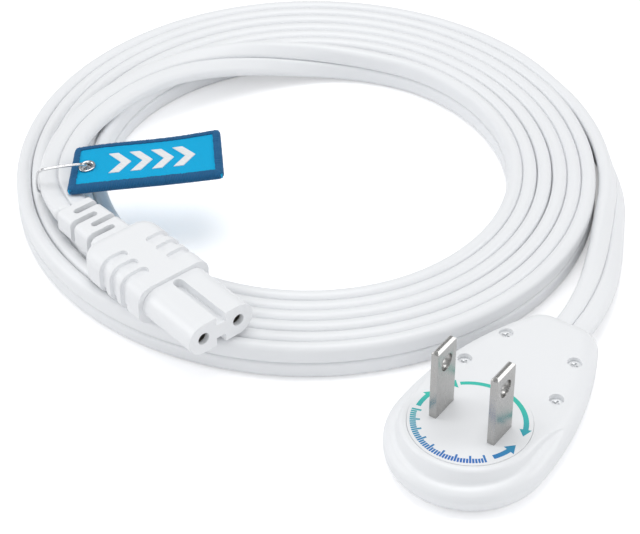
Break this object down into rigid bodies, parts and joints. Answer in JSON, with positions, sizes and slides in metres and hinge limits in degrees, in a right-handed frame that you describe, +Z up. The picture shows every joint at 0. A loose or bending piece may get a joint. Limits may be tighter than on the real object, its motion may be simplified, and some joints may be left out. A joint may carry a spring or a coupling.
{
  "type": "flat low profile plug on a coiled cord",
  "caption": "Flat low profile plug with a turning blade disc, on a coiled flat cord with a figure-of-eight socket connector.",
  "frame": {"origin": "on the surface that the housing's back lies on, under the axis of the turning disc", "axes": "+Z up along the disc's axis, out of the socket side; +Y along the housing to where the cord leaves it"},
  "size_m": [0.154, 0.1332, 0.026],
  "materials": {
    "housing": "white moulded plastic, fine satin",
    "disc": "white moulded plastic with printed turning arrows",
    "blade": "nickel-plated brass, brushed along its length",
    "contact": "stamped brass",
    "carrier": "unfilled nylon",
    "wire": "soft wire insulation",
    "screw": "zinc-plated steel",
    "cord": "white flexible sheath, satin",
    "grip": "white moulded sheath plastic, satin",
    "nose": "harder white moulded plastic",
    "tag": "woven and embroidered fabric",
    "tag_border": "overlocked thread",
    "nickel": "nickel-plated steel"
  },
  "bodies": {
    "housing": {"rear_shell": "housing", "front_shell": "housing", "contact_carrier": "carrier", "brush_spring_outer": "contact", "brush_spring_inner": "contact", "wire_left": "wire", "wire_right": "wire", "crimp_left": "contact", "crimp_right": "contact", "housing_screws": "screw", "cord_clamp": "carrier", "clamp_screws": "screw", "plug_lead": "cord", "cord_coil": "cord", "connector_lead": "cord", "connector_grip": "grip", "connector_nose": "nose", "socket_contact_left": "contact", "socket_contact_right": "contact", "tag_body": "tag", "tag_border": "tag_border", "tag_eyelet": "nickel", "split_ring": "nickel"},
    "disc": {"rotor_disc": "disc", "blade_left": "blade", "blade_right": "blade", "slip_ring_outer": "contact", "slip_ring_inner": "contact", "blade_rivets": "contact"}
  },
  "joints": [
    {"name": "disc_turn", "type": "hinge", "parent": "housing", "child": "disc", "pos_m": [0, 0, 0.01], "axis": [0, 0, 1], "continuous": true}
  ]
}
